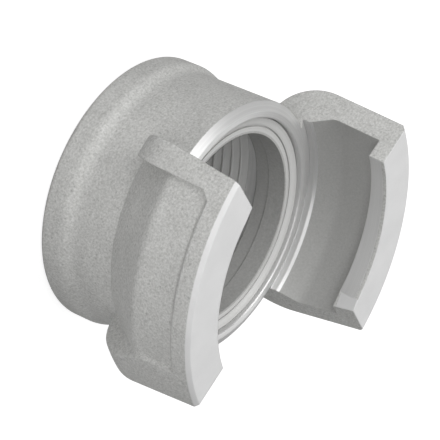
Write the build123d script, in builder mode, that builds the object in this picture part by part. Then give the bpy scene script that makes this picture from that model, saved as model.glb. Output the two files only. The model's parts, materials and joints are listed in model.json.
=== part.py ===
from build123d import *
import os
from math import asin, degrees, radians, sin, sqrt, tan

# Symmetrical claw coupling: one half coupling with a female pipe thread.
# Frame: Z is the pipe axis with the mouth up, z = 0 is the rear face, and the two
# claws stand on +X and -X.  All sizes in millimetres.
# Radii are built outwards from the thread, and heights upwards from the rear face.

# ---- Driving dimensions: pipe end ----
thread_major_d = 47.8  # G 1 1/2, 11 threads per inch
thread_depth = 17.15
thread_chamfer = 0.9
thread_shoulder = 3.15  # thickness of the web between the thread and the seal seat
barrel_wall = 3.0
collar_height = 1.2  # collar over the barrel
collar_length = 4.6
collar_blend = 4.0  # length of the soft step from collar to barrel
collar_blend_turn = 0.45  # share of the step that is rounded outwards
collar_rim_radius = 1.2

# ---- Driving dimensions: mouth ----
nose_flat_width = 1.4
nose_cone_width = 2.0
nose_slope = 0.45  # fall of the turned cone per millimetre of radius
nose_edge = 0.2
seal_width = 3.5  # radial width of the seal seat
seal_depth = 5.6  # nose plane to the floor of the seal seat

# ---- Driving dimensions: seal ----
seal_clearance = 0.1
seal_overhang = 0.15  # how far the seal stands into the waterway
seal_flat_sink = 1.45  # inner flat of the seal below the nose plane
seal_crest_sink = 0.85  # outer crest of the seal below the nose plane
seal_flat_width = 1.4
seal_fold_width = 0.35
seal_fold_depth = 0.5
seal_crest_inset = 0.25

# ---- Driving dimensions: claws ----
claw_reach = 17.85  # nose plane to the tips of the claws
claw_wall = 5.1  # outside the pocket
claw_back_radius = 10.0
claw_back_rise = 1.5  # nose plane to the centre of the rounded back
claw_side_offset = 2.3  # side planes stand this far inside the 45 degree planes
claw_side_draft = 0.13  # and move in by this much per millimetre of height
claw_bevel = 0.75
hook_clearance = 1.15  # barrel to the inner face of the hook
hook_reach = 3.95  # how far the hook stands in from the wall of the pocket
hook_thickness = 4.1
hook_rise = 0.0385  # rise of the rear face of the hook per millimetre across the claw
hook_lead_in = 2.4  # length of the flat that opens the low end of the hook
hook_lead_angle = 7.0
relief_clearance = 0.95  # hook to the turned relief at the foot of the claw
pocket_step = 1.4  # wall between the turned relief and the ramp of the pocket
pocket_ramp_height = 4.4
pocket_root_radius = 3.0

# ---- Driving dimensions: recessed panel on the outside of each claw ----
band_width = 3.95  # plain band behind the tip
band_step_run = 0.9  # length of the slope from the band down to the panel
panel_depth = 0.85
panel_edge_rise = 2.4  # edge between panel and slanted back, above the centre of the rounded back
panel_edge_radius = 3.0
panel_foot_drop = 0.5  # foot of the slanted back below the rear of the claw
panel_corner = 2.0  # clipped corner between the narrow rib and the band
narrow_rib_width = 3.4
narrow_rib_draft = 20.0  # angle of the inner wall of the rib
narrow_rib_turn = 3.0  # angle by which this wall runs outwards towards the rear
wide_rib_width = 7.0
wide_rib_draft = 38.0
wide_rib_bend_rise = 4.4  # bend of the wide rib above the centre of the rounded back
wide_rib_turn = 28.0  # angle by which its wall runs outwards behind the bend

# ---- Worked out from the driving dimensions ----
thread_r = thread_major_d / 2
barrel_r = thread_r + barrel_wall
collar_r = barrel_r + collar_height
nose_out_r = barrel_r - nose_cone_width
seat_r = nose_out_r - nose_flat_width
waterway_r = seat_r - seal_width
hook_r = barrel_r + hook_clearance
relief_r = hook_r + relief_clearance
pocket_r = hook_r + hook_reach
claw_r = pocket_r + claw_wall
back_centre_r = claw_r - claw_back_radius
claw_core_r = (nose_out_r + barrel_r) / 2  # claws start inside the wall of the barrel

seal_floor = thread_depth + thread_shoulder
nose_plane = seal_floor + seal_depth
claw_back_plane = nose_plane + claw_back_rise
overall_length = nose_plane + claw_reach
collar_top = collar_length + collar_blend
hook_z = overall_length - hook_thickness
band_z = overall_length - band_width


def cone_z(r):
    """Height of the turned cone outside the nose ring."""
    return nose_plane - (r - nose_out_r) * nose_slope


def back_z(r):
    """Height of the rounded back of a claw."""
    return claw_back_plane - sqrt(claw_back_radius**2 - (back_centre_r - r) ** 2)


def side_offset(z):
    """Distance of a side plane of a claw from the 45 degree plane through the axis."""
    return claw_side_offset + claw_side_draft * (z - nose_plane)


def side_angle(r, z):
    """Angle from the middle of a claw to its side plane, at a radius and a height."""
    return 45 - degrees(asin(side_offset(z) / r))


def half_width(r, z):
    """Half the width of a claw along Y, at a radius and a height."""
    return r * sin(radians(side_angle(r, z)))


def wall_run(x, y, draft):
    """How far the drafted wall of a rib leans out from its crest, at y, up to a plane at x."""
    return (x - sqrt(claw_r**2 - y**2)) * tan(radians(draft))


# ---- Tube: collar, barrel, thread bore, waterway, seal seat and nose ring ----
with BuildPart() as tube:
    with BuildSketch(Plane.XZ):
        with BuildLine():
            Polyline(
                (collar_r - collar_rim_radius, 0),
                (thread_r + thread_chamfer, 0),
                (thread_r, thread_chamfer),
                (thread_r, thread_depth),
                (waterway_r, thread_depth),
                (waterway_r, seal_floor),
                (seat_r, seal_floor),
                (seat_r, nose_plane - nose_edge),
                (seat_r + nose_edge, nose_plane),
                (nose_out_r, nose_plane),
                (barrel_r, cone_z(barrel_r)),
                (barrel_r, collar_top),
            )
            step_turn = (
                collar_r - collar_height * collar_blend_turn,
                collar_length + collar_blend * collar_blend_turn,
            )
            TangentArc((barrel_r, collar_top), step_turn, tangent=(0, -1))
            TangentArc((collar_r, collar_length), step_turn, tangent=(0, 1))
            Line((collar_r, collar_length), (collar_r, collar_rim_radius))
            RadiusArc(
                (collar_r, collar_rim_radius), (collar_r - collar_rim_radius, 0), collar_rim_radius
            )
        make_face()
    revolve(axis=Axis.Z)

# ---- Panel cutter: what is hollowed out of the outside of a claw ----
panel_r = claw_r - panel_depth
cutter_r = claw_r + panel_depth
panel_edge_z = claw_back_plane + panel_edge_rise
panel_foot_z = claw_back_plane - claw_back_radius - panel_foot_drop
foot_slope = (panel_edge_z - panel_foot_z) / (panel_r - barrel_r)
step_slope = band_step_run / panel_depth
narrow_y = half_width(claw_r, band_z) - narrow_rib_width
wide_y = half_width(claw_r, band_z) - wide_rib_width
bend_z = claw_back_plane + wide_rib_bend_rise
corner_z = band_z - panel_corner
narrow_run = corner_z * tan(radians(narrow_rib_turn))
wide_run = bend_z * tan(radians(wide_rib_turn))
with BuildPart() as panel_cutter:
    with BuildSketch(Plane.XZ):
        with BuildLine():
            FilletPolyline(
                (nose_out_r, panel_foot_z - (barrel_r - nose_out_r) * foot_slope),
                (panel_r, panel_edge_z),
                (panel_r, band_z - band_step_run),
                (cutter_r, band_z + panel_depth * step_slope),
                radius=(panel_edge_radius, band_step_run / 2),
            )
            Polyline(
                (cutter_r, band_z + panel_depth * step_slope),
                (cutter_r, 0),
                (nose_out_r, 0),
                (nose_out_r, panel_foot_z - (barrel_r - nose_out_r) * foot_slope),
            )
        make_face()
    revolve(axis=Axis.Z)
    for x in (cutter_r, claw_r / 2):
        with BuildSketch(Plane.YZ.offset(x)):
            narrow_lean = wall_run(x, narrow_y, narrow_rib_draft)
            wide_lean = wall_run(x, wide_y, wide_rib_draft)
            Polygon(
                (-narrow_y - narrow_lean, corner_z),
                (overall_length - corner_z - narrow_y - narrow_lean, overall_length),
                (wide_y + wide_lean, overall_length),
                (wide_y + wide_lean, bend_z),
                (wide_y + wide_lean + wide_run, 0),
                (-narrow_y - narrow_lean - narrow_run, 0),
                align=None,
            )
    loft(ruled=True, mode=Mode.INTERSECT)

# ---- Hook cutter: lets the rear face of the hook rise across the claw ----
with BuildPart() as hook_cutter:
    with BuildSketch(Plane.XZ):
        with Locations((hook_r, hook_z)):
            Rectangle(hook_reach, hook_thickness, align=(Align.MIN, Align.CENTER))
    revolve(axis=Axis.Z)
    split(bisect_by=Plane((0, 0, hook_z), z_dir=(0, -hook_rise, 1)), keep=Keep.BOTTOM)

# ---- Lead-in cutter: the flat at the low end of the hook ----
lead_in_angle = side_angle(hook_r, overall_length) - degrees(hook_lead_in / hook_r)
with BuildPart() as lead_in_cutter:
    with BuildSketch(Plane.XY.offset(overall_length)):
        with PolarLocations(hook_r, 1, start_angle=-lead_in_angle):
            Rectangle(
                hook_lead_in,
                2 * hook_lead_in,
                rotation=hook_lead_angle,
                align=(Align.MAX, Align.MAX),
            )
    extrude(amount=-2 * hook_thickness)

# ---- Claw: rounded back, pocket and inward hook, between two drafted side planes ----
hook_low_z = hook_z - hook_rise * half_width(pocket_r, hook_z)
with BuildPart() as claw:
    with BuildSketch(Plane.XZ):
        with BuildLine():
            Line((claw_core_r, cone_z(claw_core_r)), (claw_core_r, back_z(claw_core_r)))
            RadiusArc(
                (claw_core_r, back_z(claw_core_r)), (claw_r, claw_back_plane), -claw_back_radius
            )
            Polyline(
                (claw_r, claw_back_plane),
                (claw_r, overall_length - claw_bevel),
                (claw_r - claw_bevel, overall_length),
                (hook_r, overall_length),
                (hook_r, hook_low_z),
                (pocket_r, hook_low_z),
            )
            FilletPolyline(
                (pocket_r, hook_low_z),
                (pocket_r, cone_z(relief_r) + pocket_step + pocket_ramp_height),
                (relief_r, cone_z(relief_r) + pocket_step),
                (relief_r, cone_z(relief_r)),
                radius=(pocket_root_radius, 0),
            )
            Line((relief_r, cone_z(relief_r)), (claw_core_r, cone_z(claw_core_r)))
        make_face()
    revolve(axis=Axis.Z)
    for z in (0, overall_length):
        with BuildSketch(Plane.XY.offset(z)):
            apex = sqrt(2) * side_offset(z)
            Polygon((apex, 0), (apex + claw_r, claw_r), (apex + claw_r, -claw_r), align=None)
    loft(ruled=True, mode=Mode.INTERSECT)
    add(hook_cutter.part, mode=Mode.SUBTRACT)
    add(lead_in_cutter.part, mode=Mode.SUBTRACT)
    add(panel_cutter.part, mode=Mode.SUBTRACT)

# ---- Coupling body: the tube with both claws, one casting ----
with BuildPart() as coupling_body:
    add(tube.part)
    with PolarLocations(0, 2):
        add(claw.part)

# ---- Mouth seal: lip ring pressed into the seat behind the nose ring ----
seal_r = seat_r - seal_clearance
seal_bore_r = waterway_r - seal_overhang
flat_r = seal_bore_r + seal_flat_width
crest_r = seal_r - seal_crest_inset
flat_z = nose_plane - seal_flat_sink
crest_z = nose_plane - seal_crest_sink
slope_r = flat_r + seal_fold_width
with BuildPart() as mouth_seal:
    with BuildSketch(Plane.XZ):
        with BuildLine():
            Polyline(
                (seal_bore_r, seal_floor),
                (seal_r, seal_floor),
                (seal_r, crest_z - seal_crest_inset),
                (crest_r, crest_z),
                (slope_r, flat_z),
                (slope_r, flat_z - seal_fold_depth),
                (flat_r, flat_z - seal_fold_depth),
                (flat_r, flat_z),
                (seal_bore_r, flat_z),
                close=True,
            )
        make_face()
    revolve(axis=Axis.Z)

os.makedirs("parts", exist_ok=True)
coupling_body.part.label = "coupling_body"
mouth_seal.part.label = "mouth_seal"
export_step(coupling_body.part, "parts/coupling_body.step")
export_step(mouth_seal.part, "parts/mouth_seal.step")
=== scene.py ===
import json
from math import cos, hypot, pi, radians, sin

import bmesh
import bpy
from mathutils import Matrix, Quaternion, Vector


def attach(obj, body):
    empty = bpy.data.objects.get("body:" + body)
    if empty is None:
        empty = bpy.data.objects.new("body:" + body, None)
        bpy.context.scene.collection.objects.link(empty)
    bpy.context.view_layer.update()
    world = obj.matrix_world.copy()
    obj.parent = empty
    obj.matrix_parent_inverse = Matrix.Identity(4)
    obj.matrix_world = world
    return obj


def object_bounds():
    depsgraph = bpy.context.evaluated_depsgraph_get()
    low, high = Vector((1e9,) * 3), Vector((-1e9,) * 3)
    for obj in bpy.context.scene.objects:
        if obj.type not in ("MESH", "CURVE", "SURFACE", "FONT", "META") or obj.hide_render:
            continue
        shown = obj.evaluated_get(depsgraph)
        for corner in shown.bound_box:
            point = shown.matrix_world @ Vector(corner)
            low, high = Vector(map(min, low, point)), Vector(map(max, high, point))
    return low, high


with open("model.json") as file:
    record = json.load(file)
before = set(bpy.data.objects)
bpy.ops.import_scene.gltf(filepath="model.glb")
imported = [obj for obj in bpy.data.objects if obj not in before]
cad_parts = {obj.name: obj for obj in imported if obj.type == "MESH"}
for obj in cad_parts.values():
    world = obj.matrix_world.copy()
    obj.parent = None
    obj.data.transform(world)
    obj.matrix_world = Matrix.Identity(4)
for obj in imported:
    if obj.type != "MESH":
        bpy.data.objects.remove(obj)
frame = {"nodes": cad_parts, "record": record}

# Claw coupling half: an aluminium casting turned at its mouth and in its bores, with a ring
# seal in the nose.  Metres, in the frame of the solids: the pipe axis is Z, mouth up.

cad_low, cad_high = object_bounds()
body = frame["nodes"]["coupling_body"]
seal = frame["nodes"]["mouth_seal"]
mounts = {mount["name"]: mount for mount in frame["record"]["mounts"]}

MM = 0.001

# ---- Sizes read from the solids and the mounts ----
claw_top = cad_high.z
nose_plane = mounts["nose_face"]["pos_m"][2]
thread_mount = mounts["pipe_thread"]
thread_bore_radius = thread_mount["dims"]["r_mm"] * MM

# ---- Where each finish and the painted shade begin and end ----
NOSE_RADIUS = 24.9 * MM
NOSE_CONE_SLOPE = 0.45
RELIEF_RADIUS = 29.4 * MM
WATERWAY_RADIUS = 20.3 * MM
FACED_HEIGHT = claw_top - 0.8 * MM
HOOK_THICKNESS = 4.1 * MM

# ---- Pipe thread ----
THREAD_PITCH = 2.309 * MM
THREAD_DEPTH = 1.479 * MM
THREAD_START = 0.9 * MM
THREAD_END = 13.4 * MM
THREAD_FADE = 2.2 * MM
STEPS_PER_TURN = 96

# ---- Camera ----
CAMERA_AZIMUTH = radians(155.306)  # from +X towards +Y
CAMERA_ELEVATION = radians(29.951)
CAMERA_ROLL = radians(113.228)
CAMERA_DISTANCE = 0.42681
CAMERA_LENS = 176.35
AIM_POINT = Vector((-0.478, 1.335, 22.979)) * MM

# ---- Floor and world ----
FLOOR_SEEN = 0.8
FLOOR_MIRRORED = 0.02  # dim in the metal, or it would light the undersides
FLOOR_GAP = 0.05 * MM
WORLD_GLOW = 0.15

# ---- Turned finishes: darkest and palest tone, and how metallic ----
TURNED_TONES = ((0.68, 0.68, 0.675), (0.78, 0.78, 0.775))
TURNED_METALLIC = 0.6
# The thread tones are painted light: paler than the other turned metal, standing in for light
# through the rear of the bore.
THREAD_PAINTED_LIGHT_TONES = ((0.84, 0.84, 0.83), (0.92, 0.92, 0.91))
THREAD_METALLIC = 0.2


def place_camera():
    """The camera stands off the aim point and is rolled about its own axis."""
    away = Vector((
        cos(CAMERA_ELEVATION) * cos(CAMERA_AZIMUTH),
        cos(CAMERA_ELEVATION) * sin(CAMERA_AZIMUTH),
        sin(CAMERA_ELEVATION),
    ))
    data = bpy.data.cameras.new("camera")
    data.lens = CAMERA_LENS
    data.sensor_width = 36
    data.clip_start = 0.01
    data.clip_end = 20
    camera = bpy.data.objects.new("camera", data)
    bpy.context.scene.collection.objects.link(camera)
    camera.rotation_mode = "QUATERNION"
    camera.location = AIM_POINT + CAMERA_DISTANCE * away
    upright = (-away).to_track_quat("-Z", "Y")
    camera.rotation_quaternion = upright @ Quaternion((0, 0, 1), CAMERA_ROLL)
    bpy.context.scene.camera = camera
    return camera


# ---- Node helpers ----
def math_node(tree, operation, first, second=None):
    """A Math node fed by sockets or numbers."""
    made = tree.nodes.new("ShaderNodeMath")
    made.operation = operation
    for socket, value in zip(made.inputs, (first, second)):
        if value is None:
            continue
        if isinstance(value, (int, float)):
            socket.default_value = value
        else:
            tree.links.new(value, socket)
    return made.outputs[0]


def ramp_node(tree, factor, *stops):
    """A colour ramp through (position, grey or colour) stops."""
    made = tree.nodes.new("ShaderNodeValToRGB")
    elements = made.color_ramp.elements
    while len(elements) < len(stops):
        elements.new(0.5)
    for element, (position, value) in zip(elements, stops):
        element.position = position
        colour = (value, value, value) if isinstance(value, (int, float)) else value
        element.color = (*colour, 1)
    tree.links.new(factor, made.inputs["Fac"])
    return made.outputs["Color"]


def blend_colours(tree, kind, factor, first, second):
    """A colour mix of two colour sockets, by a socket or a number."""
    made = tree.nodes.new("ShaderNodeMix")
    made.data_type = "RGBA"
    made.blend_type = kind
    if isinstance(factor, (int, float)):
        made.inputs["Factor"].default_value = factor
    else:
        tree.links.new(factor, made.inputs["Factor"])
    tree.links.new(first, made.inputs[6])
    tree.links.new(second, made.inputs[7])
    return made.outputs[2]


def noise_node(tree, vector, size, detail=2.0, roughness=0.5):
    """A noise pattern with lumps of a given size."""
    made = tree.nodes.new("ShaderNodeTexNoise")
    made.inputs["Scale"].default_value = 1 / size
    made.inputs["Detail"].default_value = detail
    made.inputs["Roughness"].default_value = roughness
    tree.links.new(vector, made.inputs["Vector"])
    return made.outputs["Fac"]


def bump_node(tree, height, strength, distance, normal):
    """A Bump node on top of another normal."""
    made = tree.nodes.new("ShaderNodeBump")
    made.inputs["Strength"].default_value = strength
    made.inputs["Distance"].default_value = distance
    tree.links.new(height, made.inputs["Height"])
    tree.links.new(normal, made.inputs["Normal"])
    return made.outputs["Normal"]


def soft_edges(tree, width):
    """Edges broken by blasting and tumbling, as a rounded normal."""
    made = tree.nodes.new("ShaderNodeBevel")
    made.samples = 8
    made.inputs["Radius"].default_value = width
    return made.outputs["Normal"]


def new_material(name):
    """An empty material with its output node."""
    made = bpy.data.materials.new(name)
    made.use_nodes = True
    made.node_tree.nodes.clear()
    output = made.node_tree.nodes.new("ShaderNodeOutputMaterial")
    return made, made.node_tree, output


def ring_coordinates(tree):
    """Object position, with its distance from the pipe axis and its height."""
    coordinates = tree.nodes.new("ShaderNodeTexCoord")
    split = tree.nodes.new("ShaderNodeSeparateXYZ")
    tree.links.new(coordinates.outputs["Object"], split.inputs[0])
    x, y, height = split.outputs
    squares = math_node(
        tree, "ADD", math_node(tree, "MULTIPLY", x, x), math_node(tree, "MULTIPLY", y, y)
    )
    radius = math_node(tree, "SQRT", squares)
    return coordinates, x, y, height, radius


def turning_marks(tree, radius, height, spacing):
    """Fine rings left by the turning tool, alike on faces, cones and bores."""
    across = tree.nodes.new("ShaderNodeCombineXYZ")
    tree.links.new(radius, across.inputs[0])
    tree.links.new(height, across.inputs[1])
    return noise_node(tree, across.outputs[0], spacing, 3.0, 0.6)


def turned_metal(tree, radius, height, tones, metallic):
    """Bright turned aluminium, with its gloss drawn out across the tool marks."""
    marks = turning_marks(tree, radius, height, 0.35 * MM)
    shader = tree.nodes.new("ShaderNodeBsdfPrincipled")
    shader.inputs["Metallic"].default_value = metallic
    shader.inputs["Anisotropic"].default_value = 0.45
    shader.inputs["Anisotropic Rotation"].default_value = 0.25
    tangent = tree.nodes.new("ShaderNodeTangent")
    tangent.direction_type = "RADIAL"
    tangent.axis = "Z"
    tree.links.new(tangent.outputs[0], shader.inputs["Tangent"])
    tree.links.new(
        ramp_node(tree, marks, (0.3, tones[0]), (0.7, tones[1])),
        shader.inputs["Base Color"],
    )
    tree.links.new(ramp_node(tree, marks, (0.3, 0.44), (0.7, 0.36)), shader.inputs["Roughness"])
    normal = bump_node(tree, marks, 0.1, 0.01 * MM, soft_edges(tree, 0.35 * MM))
    tree.links.new(normal, shader.inputs["Normal"])
    return shader


def cast_metal(tree, position, faced, painted_shade_inside):
    """Blasted casting with fine grain and dark pores, paler where faced, and painted darker inside
    the waterway and claw pockets as shade.
    """
    grain = noise_node(tree, position, 0.42 * MM, 3.0, 0.6)
    pores = noise_node(tree, position, 0.6 * MM, 2.0, 0.5)
    mottle = noise_node(tree, position, 6 * MM, 3.0, 0.55)
    shader = tree.nodes.new("ShaderNodeBsdfPrincipled")
    shader.inputs["Metallic"].default_value = 0.3
    cast_tone = blend_colours(
        tree,
        "MULTIPLY",
        1.0,
        ramp_node(tree, grain, (0.3, (0.51, 0.51, 0.495)), (0.7, (0.75, 0.75, 0.735))),
        ramp_node(tree, pores, (0.27, 0.78), (0.40, 1.0)),
    )
    cast_tone = blend_colours(
        tree, "MULTIPLY", 1.0, cast_tone, ramp_node(tree, mottle, (0.3, 0.92), (0.7, 1.0))
    )
    faced_tone = ramp_node(tree, mottle, (0.3, (0.67, 0.67, 0.67)), (0.7, (0.71, 0.71, 0.71)))
    tone = blend_colours(tree, "MIX", faced, cast_tone, faced_tone)
    # Painted shade: a darker, duller tone for the waterway and claw pockets, where shade falls.
    painted_shade_tone = ramp_node(tree, grain, (0.3, (0.42, 0.42, 0.41)), (0.7, (0.49, 0.49, 0.48)))
    tone = blend_colours(tree, "MIX", painted_shade_inside, tone, painted_shade_tone)
    tree.links.new(tone, shader.inputs["Base Color"])
    tree.links.new(ramp_node(tree, faced, (0, 0.75), (1, 0.6)), shader.inputs["Roughness"])
    lumps = math_node(tree, "MULTIPLY", grain, math_node(tree, "SUBTRACT", 1, faced))
    normal = bump_node(tree, mottle, 0.15, 0.3 * MM, soft_edges(tree, 0.45 * MM))
    normal = bump_node(tree, lumps, 0.6, 0.08 * MM, normal)
    tree.links.new(normal, shader.inputs["Normal"])
    return shader


def body_material():
    """Cast outside and in the waterway, turned wherever else the lathe reached."""
    made, tree, output = new_material("aluminium_cast_and_turned")
    coordinates, x, y, height, radius = ring_coordinates(tree)
    normal = tree.nodes.new("ShaderNodeSeparateXYZ")
    tree.links.new(coordinates.outputs["Normal"], normal.inputs[0])
    normal_x, normal_y, normal_z = normal.outputs
    outward = math_node(
        tree,
        "ADD",
        math_node(tree, "MULTIPLY", x, normal_x),
        math_node(tree, "MULTIPLY", y, normal_y),
    )
    outward = math_node(tree, "DIVIDE", outward, radius)
    across = math_node(
        tree,
        "SUBTRACT",
        math_node(tree, "MULTIPLY", x, normal_y),
        math_node(tree, "MULTIPLY", y, normal_x),
    )
    across = math_node(tree, "ABSOLUTE", math_node(tree, "DIVIDE", across, radius))
    is_round = math_node(tree, "LESS_THAN", across, 0.06)
    faces_inward = math_node(tree, "LESS_THAN", outward, 0.1)
    faces_mouth = math_node(tree, "GREATER_THAN", normal_z, 0.5)
    on_lathe_side = math_node(tree, "MAXIMUM", faces_inward, faces_mouth)
    cone_height = math_node(
        tree,
        "SUBTRACT",
        nose_plane + NOSE_RADIUS * NOSE_CONE_SLOPE - 0.05 * MM,
        math_node(tree, "MULTIPLY", radius, NOSE_CONE_SLOPE),
    )
    above_cone = math_node(tree, "GREATER_THAN", height, cone_height)
    below_face = math_node(tree, "LESS_THAN", height, FACED_HEIGHT)
    within_relief = math_node(tree, "LESS_THAN", radius, RELIEF_RADIUS)
    in_mouth = math_node(tree, "MULTIPLY", above_cone, below_face)
    in_pocket = math_node(tree, "GREATER_THAN", radius, RELIEF_RADIUS)
    in_pocket = math_node(tree, "MULTIPLY", in_pocket, math_node(tree, "LESS_THAN", outward, -0.3))
    in_pocket = math_node(tree, "MULTIPLY", in_pocket, above_cone)
    in_mouth = math_node(tree, "MULTIPLY", in_mouth, within_relief)
    in_bore = math_node(
        tree,
        "MULTIPLY",
        math_node(tree, "LESS_THAN", radius, NOSE_RADIUS),
        math_node(tree, "GREATER_THAN", radius, WATERWAY_RADIUS),
    )
    reached = math_node(tree, "MAXIMUM", in_mouth, in_bore)
    turned = math_node(tree, "MULTIPLY", reached, on_lathe_side)
    turned = math_node(tree, "MULTIPLY", is_round, turned)
    faced = math_node(
        tree,
        "MULTIPLY",
        math_node(tree, "GREATER_THAN", height, FACED_HEIGHT),
        faces_mouth,
    )
    on_hook = math_node(tree, "GREATER_THAN", height, claw_top - HOOK_THICKNESS)
    slants_inward = math_node(
        tree,
        "MULTIPLY",
        math_node(tree, "LESS_THAN", outward, -0.3),
        math_node(tree, "GREATER_THAN", across, 0.1),
    )
    lead_in = math_node(tree, "MULTIPLY", on_hook, slants_inward)
    faced = math_node(tree, "MAXIMUM", faced, lead_in)
    # Painted shade: the waterway and the inward faces of the claw pockets take the darker cast
    # tone.
    waterway = math_node(tree, "LESS_THAN", radius, WATERWAY_RADIUS)
    painted_shade_inside = math_node(tree, "MAXIMUM", waterway, in_pocket)
    painted_shade_inside = math_node(tree, "MULTIPLY", painted_shade_inside, math_node(tree, "SUBTRACT", 1, lead_in))
    mix = tree.nodes.new("ShaderNodeMixShader")
    tree.links.new(turned, mix.inputs[0])
    casting = cast_metal(tree, coordinates.outputs["Object"], faced, painted_shade_inside)
    tree.links.new(casting.outputs[0], mix.inputs[1])
    lathe_cut = turned_metal(tree, radius, height, TURNED_TONES, TURNED_METALLIC)
    tree.links.new(lathe_cut.outputs[0], mix.inputs[2])
    tree.links.new(mix.outputs[0], output.inputs["Surface"])
    return made


def thread_material():
    """The turned metal of the thread flanks, painted paler as painted light standing in for light
    through the rear of the bore.
    """
    made, tree, output = new_material("aluminium_thread_painted_light")
    _, _, _, height, radius = ring_coordinates(tree)
    cut = turned_metal(tree, radius, height, THREAD_PAINTED_LIGHT_TONES, THREAD_METALLIC)
    tree.links.new(cut.outputs[0], output.inputs["Surface"])
    return made


def seal_material():
    """Light grey elastomer: a satin face with faint moulding rings, and a matt bore painted darker
    as shade.
    """
    made, tree, output = new_material("seal_elastomer")
    coordinates, _, _, height, radius = ring_coordinates(tree)
    marks = turning_marks(tree, radius, height, 0.5 * MM)
    speckle = noise_node(tree, coordinates.outputs["Object"], 0.5 * MM, 3.0, 0.6)
    on_face = math_node(tree, "GREATER_THAN", radius, WATERWAY_RADIUS)
    shader = tree.nodes.new("ShaderNodeBsdfPrincipled")
    face_tone = ramp_node(tree, marks, (0.3, (0.52, 0.52, 0.51)), (0.7, (0.62, 0.62, 0.61)))
    # Painted shade: the seal's bore is given a darker tone for the shade inside it.
    painted_shade_bore_tone = ramp_node(tree, speckle, (0.3, (0.36, 0.36, 0.35)), (0.7, (0.46, 0.46, 0.45)))
    tree.links.new(
        blend_colours(tree, "MIX", on_face, painted_shade_bore_tone, face_tone), shader.inputs["Base Color"]
    )
    tree.links.new(ramp_node(tree, on_face, (0, 0.7), (1, 0.3)), shader.inputs["Roughness"])
    normal = bump_node(tree, marks, 0.2, 0.02 * MM, soft_edges(tree, 0.25 * MM))
    tree.links.new(normal, shader.inputs["Normal"])
    tree.links.new(shader.outputs[0], output.inputs["Surface"])
    return made


def make_thread():
    """The female pipe thread: one rounded ridge wound round the bore, fading at its ends."""
    crest_radius = thread_bore_radius - THREAD_DEPTH
    root_radius = thread_bore_radius + 0.02 * MM
    outline = (
        (root_radius, -0.47),
        (crest_radius + 0.12 * MM, -0.10),
        (crest_radius, -0.04),
        (crest_radius, 0.04),
        (crest_radius + 0.12 * MM, 0.10),
        (root_radius, 0.47),
    )
    turns = (THREAD_END - THREAD_START) / THREAD_PITCH - 1
    mesh = bmesh.new()
    corners = [
        mesh.verts.new((radius, 0, THREAD_START + (share + 0.5) * THREAD_PITCH))
        for radius, share in outline
    ]
    section = mesh.faces.new(corners)
    bmesh.ops.spin(
        mesh,
        geom=[section],
        cent=(0, 0, 0),
        axis=(0, 0, 1),
        dvec=(0, 0, THREAD_PITCH / STEPS_PER_TURN),
        angle=2 * pi * turns,
        steps=round(STEPS_PER_TURN * turns),
        use_merge=False,
        use_duplicate=False,
    )
    for corner in mesh.verts:
        left = min(corner.co.z - THREAD_START, THREAD_END - corner.co.z) / THREAD_FADE
        radius = hypot(corner.co.x, corner.co.y)
        if left < 1 and radius < root_radius:
            wanted = root_radius - (root_radius - radius) * max(left, 0.02)
            corner.co.x *= wanted / radius
            corner.co.y *= wanted / radius
    bmesh.ops.recalc_face_normals(mesh, faces=mesh.faces)
    data = bpy.data.meshes.new("pipe_thread")
    mesh.to_mesh(data)
    mesh.free()
    thread = bpy.data.objects.new("pipe_thread", data)
    bpy.context.scene.collection.objects.link(thread)
    thread.data.materials.append(thread_material())
    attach(thread, "root")
    return thread


# ---- Studio ----
def add_lamp(name, camera, direction, size, power, distance=0.9):
    """A square softbox seen from the aim point in a direction given as right, up, back."""
    turn = camera.rotation_quaternion.to_matrix()
    towards = (turn @ Vector(direction)).normalized()
    data = bpy.data.lights.new(name, "AREA")
    data.shape = "SQUARE"
    data.size = size
    data.energy = power
    lamp = bpy.data.objects.new(name, data)
    bpy.context.scene.collection.objects.link(lamp)
    lamp.location = AIM_POINT + distance * towards
    lamp.rotation_mode = "QUATERNION"
    lamp.rotation_quaternion = towards.to_track_quat("Z", "Y")
    return lamp


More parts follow.
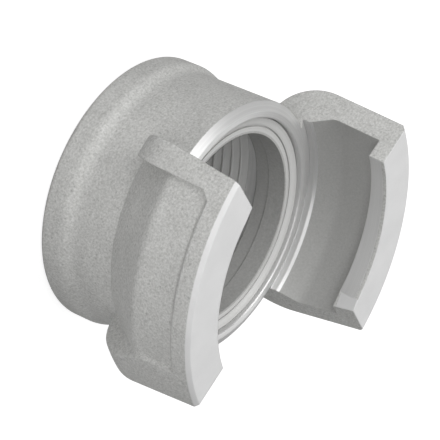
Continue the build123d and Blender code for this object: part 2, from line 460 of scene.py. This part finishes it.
def white_backdrop(tree, seen_strength, mirrored_strength):
    """Glow of the backdrop where it is looked at, and where metal mirrors it."""
    path = tree.nodes.new("ShaderNodeLightPath")
    seen = math_node(tree, "MULTIPLY", path.outputs["Is Camera Ray"], seen_strength)
    mirrored = math_node(
        tree, "MAXIMUM", path.outputs["Is Glossy Ray"], path.outputs["Is Transmission Ray"]
    )
    mirrored = math_node(tree, "MULTIPLY", mirrored, mirrored_strength)
    return math_node(tree, "ADD", seen, mirrored)


def make_floor():
    """A plain pale floor under the rear face."""
    mesh = bmesh.new()
    bmesh.ops.create_grid(mesh, x_segments=1, y_segments=1, size=3)
    bmesh.ops.translate(mesh, vec=(0, 0, -FLOOR_GAP), verts=mesh.verts)
    data = bpy.data.meshes.new("floor")
    mesh.to_mesh(data)
    mesh.free()
    floor = bpy.data.objects.new("floor", data)
    bpy.context.scene.collection.objects.link(floor)
    made, tree, output = new_material("pale_floor")
    diffuse = tree.nodes.new("ShaderNodeBsdfDiffuse")
    diffuse.inputs["Color"].default_value = (0.4, 0.4, 0.4, 1)
    glow = tree.nodes.new("ShaderNodeEmission")
    tree.links.new(white_backdrop(tree, FLOOR_SEEN, FLOOR_MIRRORED), glow.inputs["Strength"])
    both = tree.nodes.new("ShaderNodeAddShader")
    tree.links.new(diffuse.outputs[0], both.inputs[0])
    tree.links.new(glow.outputs[0], both.inputs[1])
    tree.links.new(both.outputs[0], output.inputs["Surface"])
    floor.data.materials.append(made)


def light_studio(camera):
    """A dim white tent with four softboxes."""
    world = bpy.data.worlds.new("white_tent")
    bpy.context.scene.world = world
    world.use_nodes = True
    tree = world.node_tree
    tree.nodes.clear()
    output = tree.nodes.new("ShaderNodeOutputWorld")
    glow = tree.nodes.new("ShaderNodeBackground")
    glow.inputs["Strength"].default_value = WORLD_GLOW
    tree.links.new(glow.outputs[0], output.inputs["Surface"])
    add_lamp("key", camera, (0.55, 0.4, 0.75), 0.8, 5.0)
    add_lamp("fill", camera, (-0.25, -0.25, 0.95), 0.9, 4.8)
    add_lamp("mouth", camera, (0.9, -0.3, 0.3), 0.6, 3.0)
    add_lamp("behind_mouth", camera, (0.85, -0.2, -0.5), 0.6, 1.0)


camera = place_camera()
body.material_slots[0].material = body_material()
seal.material_slots[0].material = seal_material()
make_thread()
make_floor()
light_studio(camera)

scene = bpy.context.scene
scene.view_settings.view_transform = "Standard"
